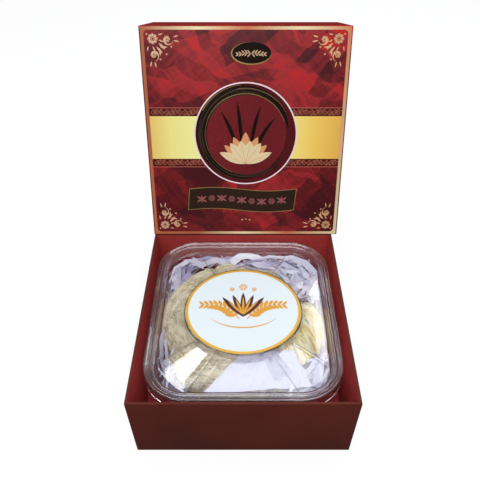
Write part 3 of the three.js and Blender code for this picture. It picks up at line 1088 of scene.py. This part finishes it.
def spray(start, end, bow, leaves, length, breadth):
    """A bowed stem with pairs of leaves along it."""
    start, end = np.array(start, float), np.array(end, float)
    across = np.array((-(end - start)[1], (end - start)[0]))
    shares = np.linspace(0, 1, 30)
    stem = [tuple(start + (end - start) * s + across * bow * math.sin(math.pi * s)) for s in shares]
    strokes = [(stem, 0.9 - 0.6 * shares)]
    for number in range(leaves):
        share = 0.12 + 0.84 * number / (leaves - 1)
        at = int(share * 29)
        before, after = stem[max(0, at - 1)], stem[min(29, at + 1)]
        heading = math.atan2(after[1] - before[1], after[0] - before[0])
        for side in (0.75, -0.75):
            tip = around(stem[at], length * (1 - 0.45 * share), heading + side)
            strokes.append(petal(stem[at], tip, breadth * (1 - 0.4 * share)))
    return strokes


gold_strokes = []
for side in (-1, 1):
    gold_strokes += spray((3 * side, -10), (34 * side, 4), 0.16 * side, 9, 9.5, 3.6)
print_on_label("label_gold_sprays", gold_strokes, 1, label_ochre)
BUDS = (-1, -0.5, 0, 0.5, 1)
dark_strokes = [petal((0, -8), (17 * k, 17 - 5 * abs(k)), 4.4, 13) for k in BUDS]
print_on_label("label_dark_bud", dark_strokes, 2, label_maroon)
glints = [petal((0, -6), (12 * k, 12 - 4 * abs(k)), 1.9, 11) for k in BUDS]
print_on_label("label_bud_glints", glints, 3, label_ochre)
arcs = [(arc((0, 2), 31, 215, 325, 40, squash=0.66), swelled(40, 0.2, 1.0))]
arcs += rosette((0, 23), 3.2, 6) + rosette((-9, 20.5), 1.8, 5) + rosette((9, 20.5), 1.8, 5)
print_on_label("label_lower_line", arcs, 1, label_ochre)

# %% [markdown]
# ## Nests
# A dried nest is a half-cup of glassy threads laid in arcs, beige with brown and grey specks of
# down. A bump alone would leave its outline too smooth, so each nest is a lumpy hood with 900 to
# 1,700 fine threads on it. The hood's shape is the plain solid's: a slab bent round the ring's axis
# and over a crest, here with a soft swell towards the tub's wall. Each thread follows the ring for
# a few centimetres and carries its own shade. The nest at the right has coarse ropes too, and it is
# paler: partly its own colour, partly painted light for the lamp's glare on it.
# Threads are computed and skinned at once, as placing them by hand would take for ever.

# %% The tub's inner wall
WALL_FOOT, WALL_SPREAD = 12.2, 6.5


def wall_reach(x, y, height, gap=0.8):
    """How far outside the tub's inner wall a point lies, in millimetres; negative is inside."""
    return off_rim(x, y, WALL_FOOT - WALL_SPREAD * (height - 4) / 54.5 + gap)


def inside_wall(x, y, z, gap=0.8):
    """Draws points that lie beyond the wall back to it."""
    for _ in range(5):
        reach = np.maximum(wall_reach(x, y, z, gap), 0)
        shrink = 1 - reach / np.maximum(np.hypot(x, y), 1)
        x, y = x * shrink, y * shrink
    return x, y


# %% The hoods as formulas
RING_STRETCH = 1.08
HOOD_FOOT = 24.6
UNDER_LID = 52.4
HALF_ARC = 43.75
RING_TURN = 25
CREST_RADIUS, CREST_BREADTH, CREST_RISE = 40.0, 22.0, 21.0
DOME_HALF, DOME_RISE = (29, 25.5), 25
CLIMB_FROM, CLIMB_TO = math.radians(-15), math.radians(105)
SWELL = {1: (7.0, 0.3, 0.8), 2: (8.0, -1.6, -1.1), 3: (9.5, 0.3, -0.6), 4: (5.0, -1.6, -1.1)}


def hood_section(along):
    """The section's size at a share of the hood's arc, and the height of the section's middle."""
    size = 0.68 + 0.32 * np.sqrt(np.clip(1 - np.abs(along) ** 3, 0, 1))
    return size, HOOD_FOOT + CREST_RISE * size * math.sin(-CLIMB_FROM)


def ring_point(number, along, across, lift):
    """A point on nest 1 to 4, in the tub's millimetres; lift is its height off the skin."""
    size, middle = hood_section(along)
    climb = CLIMB_FROM + (CLIMB_TO - CLIMB_FROM) * across
    swell, starts, full = SWELL[number]
    swell = swell * np.clip((along - starts) / (full - starts), 0, 1)
    swell = swell * np.exp(-(((across - 0.42) / 0.24) ** 2))
    lump = 0.8 * np.sin(7 * along + number) * np.sin(np.pi * across) + lift + swell
    radius = CREST_RADIUS + (CREST_BREADTH * size + lump) * np.cos(climb)
    angle = np.radians(HALF_ARC * along + RING_TURN + (2 * number - 1) * 45)
    height = np.minimum(middle + (CREST_RISE * size + lump) * np.sin(climb), UNDER_LID)
    x, y = inside_wall(radius * np.cos(angle), radius * np.sin(angle) * RING_STRETCH, height)
    return np.stack([x, y, height], axis=-1)


def dome_point(number, along, across, lift):
    """A point on the middle nest; along runs round it and across from its foot to its top."""
    angle = math.pi * along
    climb = math.pi / 2 * across
    x = (DOME_HALF[0] + lift) * np.cos(climb) * np.cos(angle)
    y = (DOME_HALF[1] + lift) * RING_STRETCH * np.cos(climb) * np.sin(angle)
    return np.stack([x, y, HOOD_FOOT + (DOME_RISE + lift) * np.sin(climb)], axis=-1)


# %% Skins and threads
OVERHANG = 1.05
HOOD_WALL = 3.2


def grid_faces(rows, columns, first=0, closed=False):
    faces = []
    for row in range(rows - 1):
        for column in range(columns if closed else columns - 1):
            a = first + row * columns + column
            b = first + row * columns + (column + 1) % columns
            faces.append((a, b, b + columns, a + columns))
    return faces


def hood_skin(surface, number, wall, rows=28, columns=72):
    """The hood's outer and inner skin, joined round its border."""
    along, across = np.meshgrid(np.linspace(-1, 1, columns), np.linspace(0, 1, rows))
    ripple = 0.35 * np.sin(9 * along + 23 * across + number) * np.sin(31 * along - 7 * across)
    edge = np.clip(np.minimum(1 - np.abs(along), np.minimum(across, 1 - across)) * 12, 0, 1)
    outside = surface(number, along, across, ripple * edge - 0.3)
    inside = surface(number, along, across, np.full_like(along, -wall) + 0.8 * (1 - edge))
    corners = np.concatenate([outside.reshape(-1, 3), inside.reshape(-1, 3)])
    count = rows * columns
    faces = grid_faces(rows, columns)
    faces += [tuple(reversed(face)) for face in grid_faces(rows, columns, count)]
    rim = list(range(columns)) + [r * columns + columns - 1 for r in range(1, rows)]
    rim += [(rows - 1) * columns + c for c in range(columns - 2, -1, -1)]
    rim += [r * columns for r in range(rows - 2, 0, -1)]
    for a, b in zip(rim, rim[1:] + rim[:1]):
        faces.append((b, a, a + count, b + count))
    return corners, faces


def thread_bundle(surface, number, count, seed, length, girth, first, steps=13, slant=0.0, sides=3):
    """Thin tubes that follow the surface: their corners, faces and each corner's shade."""
    chance = np.random.default_rng(seed)
    blocks, faces, shades = [], [], []
    turns = np.arange(sides) * 2 * np.pi / sides
    for strand in range(count):
        span = chance.uniform(*length)
        run = np.linspace(-0.5, 0.5, steps) * span
        along = np.clip(chance.uniform(-1, 1) + run, -OVERHANG, OVERHANG)
        across = chance.uniform(0, 1) + (slant + chance.uniform(-0.25, 0.25)) * run
        across = across + 0.03 * np.sin(chance.uniform(3, 8) * run / span + chance.uniform(0, 6.3))
        across = np.clip(across, -0.02, 1.04)
        rise = chance.uniform(-0.3, 0.5) + 0.9 * chance.random() ** 4 * np.cos(np.pi * run / span)
        centre = surface(number, along, across, rise)
        above = surface(number, along, across, rise + 1) - centre
        aside, above = unit(np.cross(np.gradient(centre, axis=0), above)), unit(above)
        thick = chance.uniform(*girth) * np.sin(np.linspace(0.3, np.pi - 0.3, steps)) ** 0.6
        ring = np.cos(turns)[:, None] * aside[:, None] + 0.7 * np.sin(turns)[:, None] * above[:, None]
        ring = centre[:, None] + thick[:, None, None] * ring
        blocks.append(ring.reshape(-1, 3))
        faces += grid_faces(steps, sides, first, closed=True)
        faces.append(tuple(first + k for k in reversed(range(sides))))
        faces.append(tuple(first + (steps - 1) * sides + k for k in range(sides)))
        shades += [chance.random()] * (steps * sides)
        first += steps * sides
    return np.concatenate(blocks), faces, shades


# %% [markdown]
# ## Nest finish
# The threads are half clear, so light spreads under their surface a little. Their colour comes from
# three things: the thread's own shade, broad blotches of noise, and fine dark flecks.

# %% Nest material
def blend(material, factor, first, second):
    inputs = {0: factor, 6: first, 7: second}
    return add_node(material, "ShaderNodeMix", inputs, data_type="RGBA").outputs[2]


def nest_finish(name, dark, middle, light, fleck):
    material = start_material(name, middle, 0.42, Subsurface_Weight=0.15, Subsurface_Scale=0.004)
    place = object_place(material)
    shade = add_node(material, "ShaderNodeAttribute", attribute_name="shade").outputs["Fac"]
    blotch = noise_at(material, place, 130.0, 5.0).outputs["Fac"]
    mixed = number_math(material, "MULTIPLY_ADD", shade, 0.45, blotch)
    colour = ramp(material, mixed, [(0.38, dark), (0.62, middle), (0.92, light)])
    flecks = noise_at(material, place, 520.0, 2.0).outputs["Fac"]
    where = ramp(material, flecks, [(0.64, (0, 0, 0, 1)), (0.72, (1, 1, 1, 1))])
    feed(material, blend(material, where, colour, fleck), "Base Color")
    return material


nest_straw = nest_finish(
    "nest_straw", tone(160, 135, 102), tone(223, 206, 171), tone(249, 239, 210), tone(108, 86, 64)
)
# The right nest's paler colours are partly its own and partly painted light for the lamp's glare.
nest_pale_lit = nest_finish(
    "nest_pale_lit", tone(216, 176, 104), tone(238, 214, 146), tone(252, 244, 216), tone(166, 130, 84)
)
down = start_material("nest_down_flecks", tone(84, 68, 54), 0.7)


# %% Build the five nests
def build_nest(number, surface, material, threads, span, slant=0.0, ropes=0):
    """A hood with ropes, threads and dark specks; each bundle starts where the last one ends."""
    corners, faces = hood_skin(surface, number, HOOD_WALL)
    shades = [0.35] * len(corners)
    bundles = (
        dict(count=ropes, seed=60 + number, length=span, girth=(0.6, 1.7), slant=slant, sides=5),
        dict(count=threads, seed=40 + number, length=span, girth=(0.14, 0.38), slant=slant),
        dict(count=90, seed=80 + number, length=(0.04, 0.16), girth=(0.12, 0.3), steps=6),
    )
    for bundle in bundles:
        if bundle["count"]:
            first_face = len(faces)
            more = thread_bundle(surface, number, first=len(corners), **bundle)
            corners = np.concatenate([corners, more[0]])
            faces, shades = faces + more[1], shades + more[2]
    nest = mesh_piece(f"threaded_nest_{number}", corners, faces, shades)
    nest.matrix_world = tub_to_place
    finish_piece(nest, material, "nest", f"nest_{number}", smooth=80)
    paint_faces(nest, lambda face: face.index >= first_face, down)


for number, slant in ((1, 0.1), (2, -0.1), (3, 0.2)):
    build_nest(number, ring_point, nest_straw, 1700, (0.25, 0.8), slant)
build_nest(4, ring_point, nest_pale_lit, 1000, (0.4, 0.9), 1.15, ropes=90)
build_nest(5, dome_point, nest_straw, 900, (0.2, 0.6))

# %% [markdown]
# ## Shredded paper
# Thin white paper, cut in strips 3 to 8 mm wide and creased, fills the tub between its wall and the
# nests. Cloth physics could drop the strips, but the pile has to stay in its place in the frame. So
# each strip is a seeded walk: straight for 13 to 26 mm, then a sharp fold to a new heading and
# slope. It stays inside the tub's wall and above the nests. Eight strips that show well in the
# photograph, such as the loop at the rear right, are listed, and so is the sheet of tissue
# under the front facet. A crumpled sheet closes the gaps below.

# %% Where paper can lie
CEILING = 51.4
BED_TOP = 24.3
DOME_REACH = 27.5
TISSUE_GRID = (15, 26)
# The tissue's place on the strips' painted shade ramp.
TISSUE_SHADE = 0.42


def nest_height(x, y):
    """The height of the nests' ring and dome above a point, or the bed's height beside them."""
    radius = math.hypot(x, y / RING_STRETCH)
    turn = math.degrees(math.atan2(y / RING_STRETCH, x)) - RING_TURN
    along = ((turn % 90) - 45) / HALF_ARC
    size, middle = hood_section(along)
    across = (radius - CREST_RADIUS) / (CREST_BREADTH * size)
    if abs(along) < 1 and abs(across) < 1:
        return middle + CREST_RISE * size * math.sqrt(1 - across ** 2)
    dome = 1 - (x / DOME_HALF[0]) ** 2 - (y / DOME_REACH) ** 2
    return HOOD_FOOT + DOME_RISE * math.sqrt(dome) if dome > 0 else BED_TOP


def keep_inside(point):
    x, y, z = point
    z = min(max(z, nest_height(x, y) + 0.5, 6.0), CEILING)
    x, y = inside_wall(x, y, z)
    return float(x), float(y), z


# %% Walk and fold the strips
def strip_path(chance, start, zone, highest):
    """Corners of a strip's middle line, a fold at each."""
    x, y = start
    z = max(nest_height(x, y) + 1, chance.uniform(26, 44))
    heading = chance.uniform(0, 2 * math.pi)
    points = [(x, y, z)]
    for fold in range(chance.integers(2, 5)):
        pace = chance.uniform(13, 26)
        slope = chance.uniform(-0.7, 0.7)
        for attempt in range(8):
            next_x, next_y = around((x, y), pace, heading)
            in_zone = zone[0][0] < next_x < zone[0][1] and zone[1][0] < next_y < zone[1][1]
            is_free = nest_height(next_x, next_y) < highest
            if in_zone and is_free and wall_reach(next_x, next_y, z, 3.0) <= 0:
                break
            heading += 0.8
        else:
            break
        next_z = min(CEILING - 2, max(26, z + pace * slope, nest_height(next_x, next_y) + 1))
        points.append(((x + next_x) / 2, (y + next_y) / 2, (z + next_z) / 2 + chance.uniform(-0.8, 0.8)))
        points.append((next_x, next_y, next_z))
        x, y, z = next_x, next_y, next_z
        heading += chance.choice((-1, 1)) * chance.uniform(0.3, 1.5)
    return np.array(points)


def wall_path(chance, start):
    """Corners of a strip that follows the tub's wall and zigzags a little."""
    x, y = start
    hand = chance.choice((-1, 1))
    points = []
    for fold in range(chance.integers(4, 8)):
        points.append((x, y, chance.uniform(36, 48)))
        slope_x = wall_reach(x + 0.5, y, 44) - wall_reach(x - 0.5, y, 44)
        slope_y = wall_reach(x, y + 0.5, 44) - wall_reach(x, y - 0.5, 44)
        heading = math.atan2(slope_x, -slope_y) + (0 if hand > 0 else math.pi) + chance.uniform(-0.4, 0.4)
        x, y = around((x, y), chance.uniform(5, 12), heading)
    return np.array(points)


def strip_edges(chance, path, width, roll=None):
    """The ribbon's two edges along a path; it rolls a little at each fold."""
    ahead = unit(np.gradient(path, axis=0))
    flat = unit(np.stack([-ahead[:, 1], ahead[:, 0], np.zeros(len(path))], axis=1))
    up = np.cross(ahead, flat)
    turn = chance.uniform(-1.2, 1.2) if roll is None else roll
    edges = []
    for at in range(len(path)):
        if roll is None:
            turn += chance.uniform(-0.14, 0.14)
        side = math.cos(turn) * flat[at] + math.sin(turn) * up[at]
        edges += [path[at] + side * width / 2, path[at] - side * width / 2]
    return edges


def crumple(chance, corners):
    """A sheet between four corners as rows of points, crumpled and kept inside the wall."""
    down, across = np.meshgrid(
        np.linspace(0, 1, TISSUE_GRID[0]), np.linspace(0, 1, TISSUE_GRID[1]), indexing="ij"
    )
    down, across = down[..., None], across[..., None]
    a, b, c, d = (np.array(corner) for corner in corners)
    sheet = (1 - down) * ((1 - across) * a + across * b)
    sheet = sheet + down * ((1 - across) * d + across * c)
    sheet = sheet + chance.uniform(-0.7, 0.7, sheet.shape) * (0.6, 0.6, 1.0)
    sheet[..., 0], sheet[..., 1] = inside_wall(sheet[..., 0], sheet[..., 1], sheet[..., 2])
    return sheet.reshape(-1, 3)


def make_strips(name, zone, highest, count, beside, seed, laid, tissue):
    """Strips from the listed paths, then some beside the wall, then loose ones up to the count."""
    chance = np.random.default_rng(seed)
    ribbons = [strip_edges(chance, np.array(path, float), width, roll) for path, width, roll in laid]
    while len(ribbons) < len(laid) + beside:
        start = chance.uniform(*zone[0]), chance.uniform(*zone[1])
        if -8 < wall_reach(*start, 44, 2) < -0.5:
            path, width = wall_path(chance, start), chance.choice((3.0, 4.0, 6.0))
            ribbons.append(strip_edges(chance, path, width, chance.uniform(0.4, 1.5)))
    while len(ribbons) < count:
        start = chance.uniform(*zone[0]), chance.uniform(*zone[1])
        if wall_reach(*start, 30, 3) > 0 or nest_height(*start) > highest - 4:
            continue
        path = strip_path(chance, start, zone, highest)
        if len(path) > 2:
            ribbons.append(strip_edges(chance, path, chance.choice((2.8, 3.6, 4.6, 6.5))))
    corners, faces, shades = [], [], []
    for edges in ribbons:
        first = len(corners)
        corners += [keep_inside(point) for point in edges]
        # a random painted shade for the whole strip
        shades += [chance.random()] * len(edges)
        faces += [(k, k + 1, k + 3, k + 2) for k in range(first, len(corners) - 3, 2)]
    if tissue:
        faces += grid_faces(*TISSUE_GRID, len(corners))
        corners += [tuple(point) for point in crumple(chance, tissue)]
        shades += [TISSUE_SHADE] * (TISSUE_GRID[0] * TISSUE_GRID[1])
    strips = mesh_piece(name, corners, faces, shades)
    use_modifier(strips, "SOLIDIFY", thickness=0.12, offset=0)
    strips.matrix_world = tub_to_place
    return strips


paper_white = start_material("shredded_paper_white", tone(214, 211, 232), 0.55)
shade = add_node(paper_white, "ShaderNodeAttribute", attribute_name="shade").outputs["Fac"]
# Each strip's random shade, from lavender grey to white, is painted shade for the shadows between strips.
strip_painted_shades = [(0.0, tone(150, 143, 178)), (0.35, tone(203, 201, 219)), (0.9, tone(234, 233, 241))]
feed(paper_white, ramp(paper_white, shade, strip_painted_shades), "Base Color")

# %% Lay the strips
LOOP = [
    (34, 69, 46), (44, 68, 50), (56, 62, 50), (63, 52, 47),
    (63, 42, 44), (58, 36, 46), (53, 42, 48), (50, 52, 47),
]
TENT = [(-11, 66, 46), (-3, 70, 50), (4, 71, 51), (12, 70, 49), (20, 66, 46)]
REAR = [(14, 66, 49), (24, 70, 50), (36, 69, 49), (44, 64, 47)]
SIDE = [(56, 20, 46), (62, 28, 47), (64, 40, 46), (60, 48, 47)]
REAR_LEFT = [(-66, 44, 44), (-60, 58, 47), (-50, 65, 49), (-44, 68, 47)]
RIGHT = [(64, 34, 45), (66, 20, 47), (66, 6, 46), (65, -8, 45), (64, -22, 43)]
RIGHT_LOW = [(66, 26, 41), (64, 12, 42), (66, -2, 40), (63, -18, 39), (65, -32, 38)]
LEFT = [(-68, 30, 40), (-66, 44, 45), (-60, 56, 47), (-56, 62, 44)]
LAID_REAR_RIGHT = [
    (LOOP, 7.0, 0.9), (TENT, 7.5, 0.3), (REAR, 4, 0),
    (SIDE, 6, 0.4), (RIGHT, 6, 1.1), (RIGHT_LOW, 7, 1.3),
]
LAID_REAR_LEFT = [(REAR_LEFT, 4.5, 0.2), (LEFT, 4.0, -0.4)]
TISSUE = [(-1, -36, 54.2), (38, -34, 53.8), (50, -62, 49.0), (-29, -69, 50.4)]
HEAPS = {
    "rear_right": (((-8, 68), (16, 72)), 46, 110, 24, LAID_REAR_RIGHT, None),
    "rear_left": (((-70, -42), (14, 72)), 36, 70, 22, LAID_REAR_LEFT, None),
    "front_left": (((-70, -48), (-66, 4)), 29, 22, 9, [], None),
    "front_right": (((26, 68), (-74, -30)), 34, 36, 8, [], TISSUE),
}
for seed, (corner, (zone, highest, count, beside, laid, tissue)) in enumerate(HEAPS.items(), 300):
    strips = make_strips(f"strips_{corner}", zone, highest, count, beside, seed, laid, tissue)
    finish_piece(strips, paper_white, "shredded_paper", f"paper_heap_{corner}", smooth=18)

# %% Crumple the sheet below
bed_paper = paper_finish("paper_bed_white", tone(150, 144, 176), tone(212, 208, 230), 0.6)
bpy.ops.mesh.primitive_grid_add(x_subdivisions=84, y_subdivisions=92, size=2)
bed = bpy.context.object
bed.name = "crumpled_paper_bed"
chance = np.random.default_rng(77)
for corner in bed.data.vertices:
    x, y = corner.co.x * (RIM_HALF[0] - 7), corner.co.y * (RIM_HALF[1] - 7)
    x, y = (float(value) for value in inside_wall(x, y, 26, 1.2))
    heap = 5.0 + 4.0 * math.sin(0.31 * x + 1) * math.sin(0.27 * y) if nest_height(x, y) < 25 else 0.0
    corner.co = (x, y, 23.6 + max(0.0, heap) + chance.uniform(-0.7, 0.7))
bed.matrix_world = tub_to_place
finish_piece(bed, bed_paper, "shredded_paper", "paper_bed", smooth=5)
